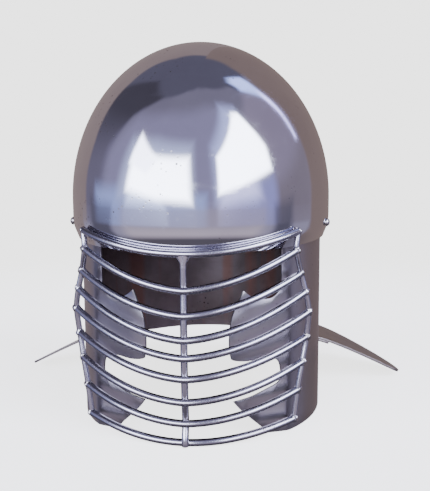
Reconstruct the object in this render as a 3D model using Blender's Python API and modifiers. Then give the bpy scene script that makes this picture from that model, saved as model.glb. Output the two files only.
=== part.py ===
"""Bar-grilled combat helmet: round steel bowl, cheek plates, neck guard, welded face grill.

Built in metres, +Z up.  The face looks along -Y, +X is the wearer's left.  While it is modelled the
origin sits between the two side rivets; settle() moves everything so that the helmet stands on z = 0.
"""
import math

import bmesh
import bpy
from mathutils import Matrix, Vector

MM = 0.001

# Sheet and fits
BOWL_SHEET = 1.6 * MM
PLATE_SHEET = 1.6 * MM
GUARD_SHEET = 2.0 * MM
GAP = 0.3 * MM
FACET_ALLOWANCE = 0.3 * MM

# Bowl: an oval dome on a short upright wall, with a longer skirt at the nape
BOWL_HALF_WIDTH = 108.2 * MM
BOWL_HALF_LENGTH = 121.5 * MM
BOWL_CENTRE_Y = 27.5 * MM
DOME_FOOT_Z = 19.0 * MM
DOME_RISE = 128.5 * MM
BROW_RIM_Z = -13.5 * MM
TEMPLE_RIM_Z = -12.5 * MM
SIDE_SKIRT_Z = -104.0 * MM
NAPE_RIM_Z = -120.0 * MM
# Degrees round the head from the brow between which the rim drops behind the ear, and then to the nape
EAR_ANGLES = (101.5, 104.0)
NAPE_ANGLE = 142.0
# How far the wall is drawn in below the dome: (share of the nape's depth, share of the full oval)
WALL_SHARES = ((-0.05, 1.0), (-0.0083, 0.998), (0.025, 0.992), (0.0542, 0.981), (0.0833, 0.968),
               (0.1125, 0.956), (0.15, 0.942), (0.3333, 0.92), (0.6667, 0.90), (1.0, 0.885))
WALL_STEPS = (0.05, 0.12, 0.28, 0.5, 0.75, 1.0)
DOME_ROWS = 8

# Floor level below the rivets, and the cheek plates that stand on it
FLOOR_DROP = 160.0 * MM
PLATE_TOP_Z = 9.0 * MM
PLATE_BEND_X = 76.0 * MM
BEND_LAND = 3.0 * MM
PLATE_FRONT_X = 26.0 * MM
PLATE_FRONT_TURN = 31.0
PLATE_REAR_Y = 50.0 * MM
PLATE_CORNER = 14.0 * MM
CHIN_TUCK = 10.0 * MM
CHIN_TUCK_FROM_Z = -95.0 * MM
# Rows of the plate in the bowl's tucked-in wall, as shares of the brow rim's depth
PLATE_ROW_SHARES = (-0.3, 0.3, 0.67, 1.0)
# Front edge of the plate on the +X side, from the brow down to the floor, as shares:
# across of the bend's place, down of the floor's depth
PLATE_EDGE_SHARES = (
    (0.921, -0.25), (0.921, 0.25), (0.903, 0.294), (0.829, 0.325), (0.724, 0.326), (0.632, 0.310),
    (0.553, 0.279), (0.508, 0.331), (0.455, 0.388), (0.429, 0.444), (0.420, 0.531), (0.434, 0.591),
    (0.463, 0.610), (0.592, 0.621), (0.763, 0.616), (0.842, 0.623), (0.895, 0.641), (0.916, 0.675),
    (0.918, 0.716), (0.895, 0.748), (0.790, 0.773), (0.618, 0.806), (0.453, 0.820), (0.521, 0.865),
    (0.626, 0.918), (0.724, 0.964), (0.796, 1.009), (0.829, 1.094))

# Neck guard: a sloping sheet that droops to both sides, cut to a broad crescent
GUARD_HALF_SPAN = 181.0 * MM
GUARD_REAR_Y = 187.0 * MM
GUARD_TIP_Y = 110.0 * MM
GUARD_ROOT_Y = 66.0 * MM
GUARD_LIFT = 3.0 * MM
GUARD_BACK_SLOPE = 0.20
GUARD_TIP_LIFT = 4.74 * MM
GUARD_DROOP_FROM_X = 100.0 * MM
GUARD_DROOP_BLEND = 25.0 * MM
GUARD_TIP_ROUND = 12.0 * MM
FLANGE_WIDTH = 24.0 * MM
FLANGE_SET_BACK = 1.0 * MM
FLANGE_SHARE_DOWN = 0.9
# Spare sheet beyond an outline, which the cutters trim off
TRIM = 8.0 * MM

# Grill: rods of round bar welded into one piece
BAR_RADIUS = 2.8 * MM
POST_RADIUS = 2.7 * MM
FRAME_RADIUS = 2.3 * MM
BEAD_RADIUS = 3.3 * MM
BROW_BEAD_RADIUS = 2.9 * MM
BEAD_TURN = math.radians(17.0)
POST_SET_BACK = 3.4 * MM
GUSSET_HALF_WIDTH = 5.2 * MM
GUSSET_DROP = 8.0 * MM
BAR_SEGMENTS = 14
# The widest bars lie this far inside the bowl's width, the lowest one this far above the floor
GRILL_INSET = 17.2 * MM
GRILL_FOOT_GAP = 0.2 * MM
POST_FOOT_RISE = 4.0 * MM
BAR_OVERRUN = 0.8 * MM
BROW_BAR_END_Z = -1.0 * MM
BROW_BAR_END_SHARE = 0.905
# One row for each lower cross bar as shares: end across of the grill's half width; end forward and
# middle forward of the bowl's half length; end down and middle down of the grill's depth; vee share
BAR_ROWS = (
    (0.895, 0.700, 0.0960, 1.008, 0.2548, 0.30),
    (0.934, 0.663, 0.2102, 1.016, 0.3726, 0.30),
    (0.973, 0.654, 0.3025, 1.016, 0.4873, 0.30),
    (1.000, 0.638, 0.4045, 1.012, 0.5732, 0.30),
    (0.984, 0.621, 0.5318, 1.004, 0.6752, 0.30),
    (0.951, 0.638, 0.6561, 0.992, 0.7898, 0.25),
    (0.912, 0.650, 0.7962, 0.971, 0.8981, 0.20),
    (0.885, 0.654, 0.9427, 0.942, 1.0000, 0.00))
BROW_OFFSET = BAR_RADIUS + GAP

# Side rivets through bowl and cheek plate
RIVET_SHAFT = 2.4 * MM
RIVET_HEAD = 3.4 * MM
RIVET_DOME = 2.8 * MM
RIVET_FOOT = 1.4 * MM
RIVET_SLACK = 0.8 * MM
HOLE_DEPTH = 20.0 * MM


def clear_scene():
    """Start from an empty file."""
    for item in list(bpy.data.objects):
        bpy.data.objects.remove(item, do_unlink=True)


def new_collection(name):
    """A fresh collection linked to the scene."""
    group = bpy.data.collections.new(name)
    bpy.context.scene.collection.children.link(group)
    return group


def steel(name, colour, roughness):
    """A plain Principled steel."""
    material = bpy.data.materials.new(name)
    material.use_nodes = True
    shader = material.node_tree.nodes["Principled BSDF"]
    shader.inputs["Base Color"].default_value = (*colour, 1.0)
    shader.inputs["Metallic"].default_value = 1.0
    shader.inputs["Roughness"].default_value = roughness
    return material


def mesh_object(name, points, faces, group):
    """A mesh object from points and faces."""
    mesh = bpy.data.meshes.new(name)
    mesh.from_pydata([tuple(point) for point in points], [], faces)
    shape = bmesh.new()
    shape.from_mesh(mesh)
    bmesh.ops.recalc_face_normals(shape, faces=shape.faces)
    shape.to_mesh(mesh)
    shape.free()
    item = bpy.data.objects.new(name, mesh)
    group.objects.link(item)
    return item


def finish_part(item, material, angle):
    """Give a part its material and smooth shading with sharp creases."""
    item.data.materials.clear()
    item.data.materials.append(material)
    item.data.shade_smooth()
    item.data.set_sharp_from_angle(angle=math.radians(angle))
    return item


def baked(item):
    """Replace an object's data by its evaluated mesh and drop its modifiers."""
    depsgraph = bpy.context.evaluated_depsgraph_get()
    depsgraph.update()
    mesh = bpy.data.meshes.new_from_object(item.evaluated_get(depsgraph))
    shape = bmesh.new()
    shape.from_mesh(mesh)
    bmesh.ops.remove_doubles(shape, verts=shape.verts, dist=0.00001)
    shape.to_mesh(mesh)
    shape.free()
    name = item.name
    group = item.users_collection[0]
    bpy.data.objects.remove(item, do_unlink=True)
    mesh.name = name
    result = bpy.data.objects.new(name, mesh)
    group.objects.link(result)
    return result


def solidify(item, thickness, offset):
    """Thicken an open sheet evenly."""
    modifier = item.modifiers.new("sheet", "SOLIDIFY")
    modifier.thickness = thickness
    modifier.offset = offset
    modifier.use_even_offset = True
    return modifier


def boolean(item, other, operation):
    """Cut, keep or join with another solid."""
    modifier = item.modifiers.new(operation.lower(), "BOOLEAN")
    modifier.operation = operation
    modifier.solver = "EXACT"
    modifier.object = other
    return modifier


def as_cutter(item):
    """Mark an object as a helper that is not part of the helmet."""
    item.hide_render = True
    item.display_type = "WIRE"
    return item


def blend(value, low, high):
    """0 below low, 1 above high, an eased ramp between them."""
    share = min(1.0, max(0.0, (value - low) / (high - low)))
    return share * share * (3.0 - 2.0 * share)


def table_share(table, value):
    """Read a (position, share) table; beyond its ends the end values hold."""
    value = max(value, table[0][0])
    for (low, first), (high, second) in zip(table, table[1:]):
        if value <= high:
            return first + (second - first) * (value - low) / (high - low)
    return table[-1][1]


def oval(angle, half_width, half_length):
    """Plan point of the bowl's oval; 0 degrees is the brow, 180 the nape."""
    turn = math.radians(angle)
    return half_width * math.sin(turn), BOWL_CENTRE_Y - half_length * math.cos(turn)


def rim_height(angle):
    """Height of the bowl's lower rim round the head."""
    across = abs(angle)
    if across <= EAR_ANGLES[0]:
        return BROW_RIM_Z + (TEMPLE_RIM_Z - BROW_RIM_Z) * blend(across, 40.0, 70.0)
    side = TEMPLE_RIM_Z + (SIDE_SKIRT_Z - TEMPLE_RIM_Z) * blend(across, *EAR_ANGLES)
    return side + (NAPE_RIM_Z - SIDE_SKIRT_Z) * blend(across, EAR_ANGLES[1], NAPE_ANGLE)


def wall_share(height):
    """Share of the full oval that the wall has at a height."""
    return table_share(WALL_SHARES, height / NAPE_RIM_Z)


def bowl_angles():
    """Columns of the bowl, closer together where the rim drops behind the ear."""
    front = [100.0 * step / 15 for step in range(16)]
    ear = [EAR_ANGLES[0] + (EAR_ANGLES[1] - EAR_ANGLES[0]) * step / 4 for step in range(5)]
    back = [111.5 + (180.0 - 111.5) * step / 8 for step in range(9)]
    half = front + ear + back
    return half + [-angle for angle in reversed(half[1:-1])]


def bowl_column(angle):
    """Points of one bowl column from below the crown to the rim."""
    points = []
    for row in range(1, DOME_ROWS + 1):
        turn = math.radians(90.0 * (1.0 - row / DOME_ROWS))
        x, y = oval(angle, BOWL_HALF_WIDTH * math.cos(turn), BOWL_HALF_LENGTH * math.cos(turn))
        points.append((x, y, DOME_FOOT_Z + DOME_RISE * math.sin(turn)))
    rim = rim_height(angle)
    start = BROW_RIM_Z * 0.15
    heights = [start] + [start + (rim - start) * step for step in WALL_STEPS]
    for height in heights:
        share = wall_share(height)
        x, y = oval(angle, BOWL_HALF_WIDTH * share, BOWL_HALF_LENGTH * share)
        points.append((x, y, height))
    return points


def make_bowl(group):
    """One-piece dome and nape skirt as a sheet of even thickness."""
    angles = bowl_angles()
    columns = [bowl_column(angle) for angle in angles]
    rows = len(columns[0])
    points = [(0.0, BOWL_CENTRE_Y, DOME_FOOT_Z + DOME_RISE)]
    for column in columns:
        points.extend(column)
    faces = []
    for index in range(len(angles)):
        here = 1 + index * rows
        there = 1 + (index + 1) % len(angles) * rows
        faces.append((0, there, here))
        for row in range(rows - 1):
            faces.append((here + row, there + row, there + row + 1, here + row + 1))
    bowl = mesh_object("skull_bowl", points, faces, group)
    face_outward(bowl, Vector((0.0, BOWL_CENTRE_Y, 0.0)))
    solidify(bowl, BOWL_SHEET, -1.0)
    return bowl


def face_outward(item, inside):
    """Turn all faces so that the sheet's normals point away from a point inside it."""
    face = max(item.data.polygons, key=lambda each: each.center.z)
    if face.normal.dot(face.center - inside) < 0.0:
        item.data.flip_normals()


def plate_plan(height):
    """Plan line of the plate's outer face at a height, from the front to behind the ear."""
    inset = BOWL_SHEET + GAP + FACET_ALLOWANCE
    share = wall_share(max(height, BROW_RIM_Z))
    half_width = BOWL_HALF_WIDTH * share - inset
    half_length = BOWL_HALF_LENGTH * share - inset
    bend_angle = math.degrees(math.asin(PLATE_BEND_X / (BOWL_HALF_WIDTH * wall_share(BROW_RIM_Z) - inset)))
    rear_angle = 90.0 + math.degrees(math.asin((PLATE_REAR_Y + TRIM - BOWL_CENTRE_Y) / BOWL_HALF_LENGTH))
    shared = [angle for angle in bowl_angles() if bend_angle + 2.0 < angle <= EAR_ANGLES[0]]
    curve = [oval(angle, half_width, half_length) for angle in [bend_angle] + shared + [rear_angle]]
    bend = curve[0]
    slope = math.tan(math.radians(PLATE_FRONT_TURN))
    front = []
    for step in range(3):
        x = PLATE_FRONT_X + (bend[0] - BEND_LAND - PLATE_FRONT_X) * step / 2
        front.append((x, bend[1] - slope * (bend[0] - x)))
    return front + curve


def plate_point(plan, height):
    """A point of the plate's face, drawn back a little at the chin."""
    x, y = plan
    share = max(0.0, (PLATE_BEND_X - x) / (PLATE_BEND_X - PLATE_FRONT_X))
    drop = max(0.0, (CHIN_TUCK_FROM_Z - height) / (FLOOR_DROP + CHIN_TUCK_FROM_Z))
    return x, y + CHIN_TUCK * share * drop, height


def prism(name, outline, axis, low, high, group):
    """A closed prism: an outline in two directions, carried along the third axis."""
    count = len(outline)
    points = []
    for level in (low, high):
        for first, second in outline:
            point = [first, second]
            point.insert(axis, level)
            points.append(point)
    faces = [tuple(range(count)), tuple(range(2 * count - 1, count - 1, -1))]
    for index in range(count):
        after = (index + 1) % count
        faces.append((index, after, count + after, count + index))
    return as_cutter(mesh_object(name, points, faces, group))


def arc(centre, radius, start, stop, steps):
    """Points of an arc in degrees."""
    points = []
    for step in range(steps + 1):
        turn = math.radians(start + (stop - start) * step / steps)
        points.append((centre[0] + radius * math.cos(turn), centre[1] + radius * math.sin(turn)))
    return points


def plate_side_outline():
    """Side view of the cheek plate, (fore-and-aft, up), with rounded rear corners."""
    rear = PLATE_REAR_Y - PLATE_CORNER
    outline = [(-2.0 * BOWL_HALF_LENGTH, PLATE_TOP_Z), (-2.0 * BOWL_HALF_LENGTH, -FLOOR_DROP)]
    outline += arc((rear, -FLOOR_DROP + PLATE_CORNER), PLATE_CORNER, -90.0, 0.0, 6)
    outline += arc((rear, PLATE_TOP_Z - PLATE_CORNER), PLATE_CORNER, 0.0, 90.0, 6)
    return outline


def make_plate(group, cutters):
    """Cheek plate on the +X side: bent sheet, scalloped front edge."""
    heights = [PLATE_TOP_Z + TRIM] + [BROW_RIM_Z * share for share in PLATE_ROW_SHARES] + [CHIN_TUCK_FROM_Z]
    below = FLOOR_DROP + TRIM + CHIN_TUCK_FROM_Z
    heights += [CHIN_TUCK_FROM_Z - below * step / 3 for step in (1, 2, 3)]
    points = [plate_point(spot, height) for height in heights for spot in plate_plan(height)]
    width = len(plate_plan(0.0))
    faces = []
    for row in range(len(heights) - 1):
        for column in range(width - 1):
            base = row * width + column
            faces.append((base, base + 1, base + width + 1, base + width))
    plate = mesh_object("cheek_plate_left", points, faces, group)
    face_outward(plate, Vector((0.0, BOWL_CENTRE_Y, 0.0)))
    solidify(plate, PLATE_SHEET, -1.0)
    side = prism("plate_side_cutter", plate_side_outline(), 0, 0.0, 2.0 * BOWL_HALF_WIDTH, cutters)
    edge = [(across * PLATE_BEND_X, -down * FLOOR_DROP) for across, down in PLATE_EDGE_SHARES]
    edge += [(-TRIM, edge[-1][1]), (-TRIM, edge[0][1])]
    face = prism("plate_face_cutter", edge, 1, -2.0 * BOWL_HALF_LENGTH, 0.0, cutters)
    boolean(plate, side, "INTERSECT")
    boolean(plate, face, "DIFFERENCE")
    return plate


def past_droop(x):
    """Eased distance across beyond the line where the guard starts to droop."""
    past = abs(x) - GUARD_DROOP_FROM_X
    return (past + math.sqrt(past * past + GUARD_DROOP_BLEND ** 2)) / 2.0


def guard_height(x, y):
    """Upper face of the neck guard, which droops until its tips nearly reach the floor."""
    nape_y = BOWL_CENTRE_Y + BOWL_HALF_LENGTH * WALL_SHARES[-1][1]
    root = NAPE_RIM_Z + GUARD_LIFT
    tip = root - GUARD_BACK_SLOPE * (GUARD_TIP_Y - nape_y)
    droop = (tip + FLOOR_DROP - GUARD_TIP_LIFT) / past_droop(GUARD_HALF_SPAN)
    return root - GUARD_BACK_SLOPE * (y - nape_y) - droop * past_droop(x)


def guard_sheet(name, drop, thickness, group):
    """A sloping sheet wider than the guard, to be trimmed to its outline."""
    columns = 36
    reach = GUARD_HALF_SPAN + 1.5 * TRIM
    points = []
    for y in (GUARD_ROOT_Y - 3.0 * TRIM, GUARD_REAR_Y + 2.0 * TRIM):
        for column in range(columns + 1):
            x = reach * (2.0 * column / columns - 1.0)
            points.append((x, y, guard_height(x, y) - drop))
    faces = [(step, step + 1, columns + 2 + step, columns + 1 + step) for step in range(columns)]
    sheet = mesh_object(name, points, faces, group)
    if sheet.data.polygons[0].normal.z < 0.0:
        sheet.data.flip_normals()
    solidify(sheet, thickness, -1.0)
    return sheet


def guard_inner(offset):
    """Plan line round the nape skirt from the +X root to the -X root, a distance outside it."""
    low_share = WALL_SHARES[-1][1]
    root = 90.0 + math.degrees(math.asin((GUARD_ROOT_Y - BOWL_CENTRE_Y) / (BOWL_HALF_LENGTH * low_share)))
    points = []
    for step in range(33):
        angle = root + (360.0 - 2.0 * root) * step / 32
        x, y = oval(angle, BOWL_HALF_WIDTH * low_share, BOWL_HALF_LENGTH * low_share)
        share = wall_share(guard_height(x, y))
        points.append(oval(angle, BOWL_HALF_WIDTH * share + offset, BOWL_HALF_LENGTH * share + offset))
    return points


def guard_outer():
    """Plan line of the outer edge from the -X tip to the +X tip, with rounded tips."""
    half = []
    for step in range(19):
        turn = math.radians(90.0 * step / 18)
        x = (GUARD_HALF_SPAN - GUARD_TIP_ROUND) * math.sin(turn) ** 0.92
        y = GUARD_TIP_Y + (GUARD_REAR_Y - GUARD_TIP_ROUND - GUARD_TIP_Y) * math.cos(turn) ** 0.92
        half.append((x, y, turn))
    side = [(x + GUARD_TIP_ROUND * math.sin(turn), y + GUARD_TIP_ROUND * math.cos(turn))
            for x, y, turn in half]
    end_x, end_y, turn = half[-1]
    side += arc((end_x, end_y), GUARD_TIP_ROUND, -15.0, -65.0, 5)
    return [(-x, y) for x, y in reversed(side)] + side[1:]


def make_guard(group, cutters):
    """Crescent neck guard with a doubled strip along its root."""
    guard = guard_sheet("neck_guard", 0.0, GUARD_SHEET, group)
    outline = guard_outer() + guard_inner(GAP + FACET_ALLOWANCE)
    trim = prism("guard_outline", outline, 2, -2.0 * FLOOR_DROP, 0.0, cutters)
    boolean(guard, trim, "INTERSECT")
    flange = guard_sheet("guard_flange", GUARD_SHEET * FLANGE_SHARE_DOWN, GUARD_SHEET, cutters)
    strip = list(reversed(guard_inner(FLANGE_WIDTH))) + guard_inner(GAP + FLANGE_SET_BACK)
    strip_trim = prism("flange_outline", strip, 2, -2.0 * FLOOR_DROP, 0.0, cutters)
    boolean(flange, strip_trim, "INTERSECT")
    boolean(flange, trim, "INTERSECT")
    boolean(guard, as_cutter(flange), "UNION")
    return guard


def rod(name, points, radius, group, sides=2):
    """A round rod along a list of points, as a closed mesh."""
    curve = bpy.data.curves.new(name, "CURVE")
    curve.dimensions = "3D"
    curve.bevel_depth = radius
    curve.bevel_resolution = sides
    curve.use_fill_caps = True
    line = curve.splines.new("POLY")
    line.points.add(len(points) - 1)
    for spot, point in zip(line.points, points):
        spot.co = (*point, 1.0)
    item = bpy.data.objects.new(name, curve)
    group.objects.link(item)
    return baked(item)


def bar_sizes():
    """Ends and middle of every cross bar: end x, end y, end z, middle y, middle z, vee share."""
    half_width = BOWL_HALF_WIDTH - GRILL_INSET
    foot = -FLOOR_DROP + BAR_RADIUS + GRILL_FOOT_GAP
    sizes = [(BROW_BAR_END_SHARE * half_width, None, BROW_BAR_END_Z, None, BROW_RIM_Z, 0.0)]
    for across, end_forward, end_down, forward, down, vee in BAR_ROWS:
        end_y = BOWL_CENTRE_Y - end_forward * BOWL_HALF_LENGTH
        mid_y = BOWL_CENTRE_Y - forward * BOWL_HALF_LENGTH
        sizes.append((across * half_width, end_y, end_down * foot, mid_y, down * foot, vee))
    return sizes


def bar_points(sizes):
    """Centre line of one cross bar; the brow bar follows the bowl."""
    end_x, end_y, end_z, mid_y, mid_z, vee = sizes
    points = []
    for step in range(BAR_SEGMENTS + 1):
        share = 2.0 * step / BAR_SEGMENTS - 1.0
        share = math.sin(share * math.pi / 2.0 * 0.96) / math.sin(math.pi / 2.0 * 0.96)
        reach = abs(share)
        x = end_x * share
        lift = vee * reach + (1.0 - vee) * reach ** 2.1
        z = mid_z + (end_z - mid_z) * lift
        if end_y is None:
            y = brow_line(x, z)
        else:
            y = mid_y + (end_y - mid_y) * reach ** 1.9
        points.append((x, y, z))
    return points


def brow_line(x, z):
    """Fore-and-aft place of the brow bar, resting on the bowl's outer face."""
    share = wall_share(z + 0.5 * BAR_RADIUS)
    half_width = BOWL_HALF_WIDTH * share + BROW_OFFSET
    half_length = BOWL_HALF_LENGTH * share + BROW_OFFSET
    return BOWL_CENTRE_Y - half_length * math.sqrt(1.0 - (x / half_width) ** 2)


def bar_ends():
    """Weld points of all cross bars on the +X side, a little short of their ends."""
    ends = []
    for sizes in bar_sizes():
        before, last = (Vector(point) for point in bar_points(sizes)[-2:])
        ends.append(tuple(last - (last - before).normalized() * BAR_OVERRUN))
    return ends


def post_points():
    """Centre post: behind the cross bars, then in front of the last one."""
    middles = [bar_points(sizes)[BAR_SEGMENTS // 2] for sizes in bar_sizes()]
    points = [(0.0, y, z - 0.4 * BAR_RADIUS) for x, y, z in middles[:1]]
    points += [(0.0, y + POST_SET_BACK, z) for x, y, z in middles[1:-1]]
    foot = middles[-1]
    points.append((0.0, foot[1] - POST_SET_BACK, foot[2] + POST_FOOT_RISE))
    points.append((0.0, foot[1] - POST_SET_BACK, foot[2] - 0.5 * BAR_RADIUS))
    return points


def bead(name, place, radius, group):
    """A weld bead."""
    mesh = bpy.data.meshes.new(name)
    shape = bmesh.new()
    bmesh.ops.create_icosphere(shape, subdivisions=2, radius=radius)
    shape.to_mesh(mesh)
    shape.free()
    mesh.transform(Matrix.Translation(place) @ Matrix.Rotation(BEAD_TURN, 4, (0.3, 0.5, 0.8)))
    item = bpy.data.objects.new(name, mesh)
    group.objects.link(item)
    return item


def gusset(name, top, group):
    """Weld fillet that widens from the post into the brow bar."""
    mesh = bpy.data.meshes.new(name)
    shape = bmesh.new()
    bmesh.ops.create_cone(shape, cap_ends=True, segments=10, radius1=POST_RADIUS * 0.9,
                          radius2=GUSSET_HALF_WIDTH, depth=GUSSET_DROP)
    shape.to_mesh(mesh)
    shape.free()
    flatten = Matrix.Diagonal((1.0, POST_RADIUS / GUSSET_HALF_WIDTH, 1.0, 1.0))
    middle = top - Vector((0.0, 0.0, GUSSET_DROP / 2.0))
    mesh.transform(Matrix.Translation(middle) @ flatten @ Matrix.Rotation(BEAD_TURN, 4, "Z"))
    item = bpy.data.objects.new(name, mesh)
    group.objects.link(item)
    return item


def make_grill(group, cutters):
    """Cross bars, centre post, side rods and weld beads as one welded solid."""
    pieces = []
    for index, sizes in enumerate(bar_sizes()):
        pieces.append(rod(f"bar_{index}", bar_points(sizes), BAR_RADIUS, cutters))
    pieces.append(rod("post", post_points(), POST_RADIUS, cutters))
    ends = bar_ends()
    for side, label in ((1.0, "left"), (-1.0, "right")):
        line = [(side * x, y, z) for x, y, z in ends]
        pieces.append(rod(f"frame_{label}", line, FRAME_RADIUS, cutters))
        for index, place in enumerate(line):
            radius = BEAD_RADIUS if index else BROW_BEAD_RADIUS
            pieces.append(bead(f"bead_{label}_{index}", place, radius, cutters))
    pieces.append(gusset("gusset", Vector(post_points()[0]), cutters))
    return welded("face_grill", pieces, group)


def welded(name, pieces, group):
    """Union of overlapping solids, one after the other."""
    base = pieces[0]
    for other in pieces[1:]:
        boolean(base, other, "UNION")
        base = baked(base)
        bpy.data.objects.remove(other, do_unlink=True)
    for holder in list(base.users_collection):
        holder.objects.unlink(base)
    group.objects.link(base)
    base.name = name
    base.data.name = name
    return base


def bowl_normal_frame():
    """Place and direction of the rivet on the bowl's outer face, +X side."""
    share = wall_share(0.0)
    x = BOWL_HALF_WIDTH * math.sqrt(share ** 2 - (BOWL_CENTRE_Y / BOWL_HALF_LENGTH) ** 2)
    normal = Vector((x / BOWL_HALF_WIDTH ** 2, -BOWL_CENTRE_Y / BOWL_HALF_LENGTH ** 2, 0.0)).normalized()
    return Vector((x, 0.0, 0.0)), normal


def along_normal(item):
    """Carry a solid made along +Z onto the bowl's side."""
    place, normal = bowl_normal_frame()
    turn = normal.to_track_quat("Z", "Y").to_matrix().to_4x4()
    item.data.transform(Matrix.Translation(place) @ turn)


def make_rivet(group):
    """Domed head outside, shaft through both sheets, flat head inside; a screwed profile."""
    inner = -(BOWL_SHEET + PLATE_SHEET + 2.0 * GAP + FACET_ALLOWANCE + RIVET_SLACK)
    profile = [(0.0, GAP + RIVET_DOME)]
    for turn in (22.5, 45.0, 67.5):
        angle = math.radians(turn)
        profile.append((RIVET_HEAD * math.sin(angle), GAP + RIVET_DOME * math.cos(angle)))
    profile += [(RIVET_HEAD, GAP), (RIVET_SHAFT, GAP), (RIVET_SHAFT, inner),
                (RIVET_HEAD, inner), (RIVET_HEAD, inner - RIVET_FOOT), (0.0, inner - RIVET_FOOT)]
    mesh = bpy.data.meshes.new("side_rivet_left")
    edges = [(index, index + 1) for index in range(len(profile) - 1)]
    mesh.from_pydata([(x, 0.0, z) for x, z in profile], edges, [])
    item = bpy.data.objects.new("side_rivet_left", mesh)
    group.objects.link(item)
    screw = item.modifiers.new("turn", "SCREW")
    screw.steps = 14
    screw.render_steps = 14
    screw.use_merge_vertices = True
    screw.merge_threshold = 0.00005
    screw.use_normal_calculate = True
    item = baked(item)
    shape = bmesh.new()
    shape.from_mesh(item.data)
    bmesh.ops.recalc_face_normals(shape, faces=shape.faces)
    shape.to_mesh(item.data)
    shape.free()
    along_normal(item)
    return item


def rivet_hole(cutters):
    """Clearance hole for the rivet shaft, on both sides."""
    mesh = bpy.data.meshes.new("rivet_hole")
    shape = bmesh.new()
    bmesh.ops.create_cone(shape, cap_ends=True, segments=20, radius1=RIVET_SHAFT + GAP,
                          radius2=RIVET_SHAFT + GAP, depth=HOLE_DEPTH)
    shape.to_mesh(mesh)
    shape.free()
    item = bpy.data.objects.new("rivet_hole_left", mesh)
    cutters.objects.link(item)
    along_normal(item)
    as_cutter(item)
    other = mirrored(item, "rivet_hole_right", cutters)
    return item, as_cutter(other)


def mirrored(item, name, group):
    """A baked copy of a solid on the other side of the helmet."""
    depsgraph = bpy.context.evaluated_depsgraph_get()
    depsgraph.update()
    mesh = bpy.data.meshes.new_from_object(item.evaluated_get(depsgraph))
    mesh.name = name
    mesh.transform(Matrix.Diagonal((-1.0, 1.0, 1.0, 1.0)))
    mesh.flip_normals()
    copy = bpy.data.objects.new(name, mesh)
    group.objects.link(copy)
    return copy


def settle(parts):
    """Stand the helmet on z = 0 with its bounding box centred over the origin."""
    depsgraph = bpy.context.evaluated_depsgraph_get()
    depsgraph.update()
    low = Vector((1.0, 1.0, 1.0))
    high = Vector((-1.0, -1.0, -1.0))
    for part in parts:
        mesh = part.evaluated_get(depsgraph).to_mesh()
        for vertex in mesh.vertices:
            low = Vector(min(pair) for pair in zip(low, vertex.co))
            high = Vector(max(pair) for pair in zip(high, vertex.co))
    shift = Vector((-(low.x + high.x) / 2.0, -(low.y + high.y) / 2.0, -low.z))
    for item in bpy.data.objects:
        item.data.transform(Matrix.Translation(shift))
    print("settled by", [round(value * 1000.0, 2) for value in shift])
    print("size", [round(value * 1000.0, 1) for value in (high - low)])


def main():
    """Build every piece of the helmet."""
    clear_scene()
    helmet = new_collection("bar_grilled_combat_helmet")
    cutters = new_collection("cutters")
    cutters.hide_render = True

    bowl = make_bowl(helmet)
    plate = make_plate(helmet, cutters)
    holes = rivet_hole(cutters)
    for hole in holes:
        boolean(bowl, hole, "DIFFERENCE")
    boolean(plate, holes[0], "DIFFERENCE")
    bowl = baked(bowl)
    plate = baked(plate)
    other_plate = mirrored(plate, "cheek_plate_right", helmet)
    guard = baked(make_guard(helmet, cutters))
    grill = make_grill(helmet, cutters)
    rivet = make_rivet(helmet)
    other_rivet = mirrored(rivet, "side_rivet_right", helmet)

    finish_part(bowl, steel("bowl_steel", (0.62, 0.62, 0.66), 0.10), 40.0)
    finish_part(plate, steel("cheek_left_steel", (0.52, 0.50, 0.52), 0.25), 30.0)
    finish_part(other_plate, steel("cheek_right_steel", (0.52, 0.50, 0.52), 0.25), 30.0)
    finish_part(guard, steel("guard_steel", (0.42, 0.39, 0.37), 0.35), 30.0)
    finish_part(grill, steel("grill_steel", (0.60, 0.60, 0.66), 0.18), 50.0)
    finish_part(rivet, steel("rivet_left_steel", (0.55, 0.54, 0.53), 0.20), 40.0)
    finish_part(other_rivet, steel("rivet_right_steel", (0.55, 0.54, 0.53), 0.20), 40.0)
    settle([bowl, plate, other_plate, guard, grill, rivet, other_rivet])


main()
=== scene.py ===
# %% [markdown]
# # A bar-grilled combat helmet
#
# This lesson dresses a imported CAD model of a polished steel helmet: a one-piece bowl, two bent cheek
# plates, a broad neck guard, a welded grill of round bar and two rivets. The CAD nodes are the
# yardstick. They have flat facets, which a mirror finish would show at once, so each piece is made
# again here in the same place with smooth faces and softened edges.

# %% Load the CAD model
import math

import bmesh
import bpy
from mathutils import Matrix, Vector, noise


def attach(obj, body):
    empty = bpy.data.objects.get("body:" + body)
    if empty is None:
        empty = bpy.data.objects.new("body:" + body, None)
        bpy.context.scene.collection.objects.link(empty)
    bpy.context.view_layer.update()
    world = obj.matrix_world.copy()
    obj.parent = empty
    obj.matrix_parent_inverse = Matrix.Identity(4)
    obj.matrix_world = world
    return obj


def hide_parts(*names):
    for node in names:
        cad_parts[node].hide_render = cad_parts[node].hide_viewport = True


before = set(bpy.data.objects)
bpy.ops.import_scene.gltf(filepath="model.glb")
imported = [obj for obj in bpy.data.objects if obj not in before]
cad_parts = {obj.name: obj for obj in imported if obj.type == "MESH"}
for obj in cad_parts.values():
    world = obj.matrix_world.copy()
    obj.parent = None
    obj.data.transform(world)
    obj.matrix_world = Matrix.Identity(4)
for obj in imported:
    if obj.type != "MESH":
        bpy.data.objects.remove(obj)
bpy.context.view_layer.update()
print("nodes:", ", ".join(sorted(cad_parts)))

# %% [markdown]
# ## Measures
#
# An armourer measures from the side rivets, so all lengths below are in millimetres from the point
# midway between them: x to the wearer's left, y towards the nape, z up. `at` turns such a place into
# metres in the CAD frame. The bowl's plan is an oval, and an angle of 0 degrees is the brow.

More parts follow.
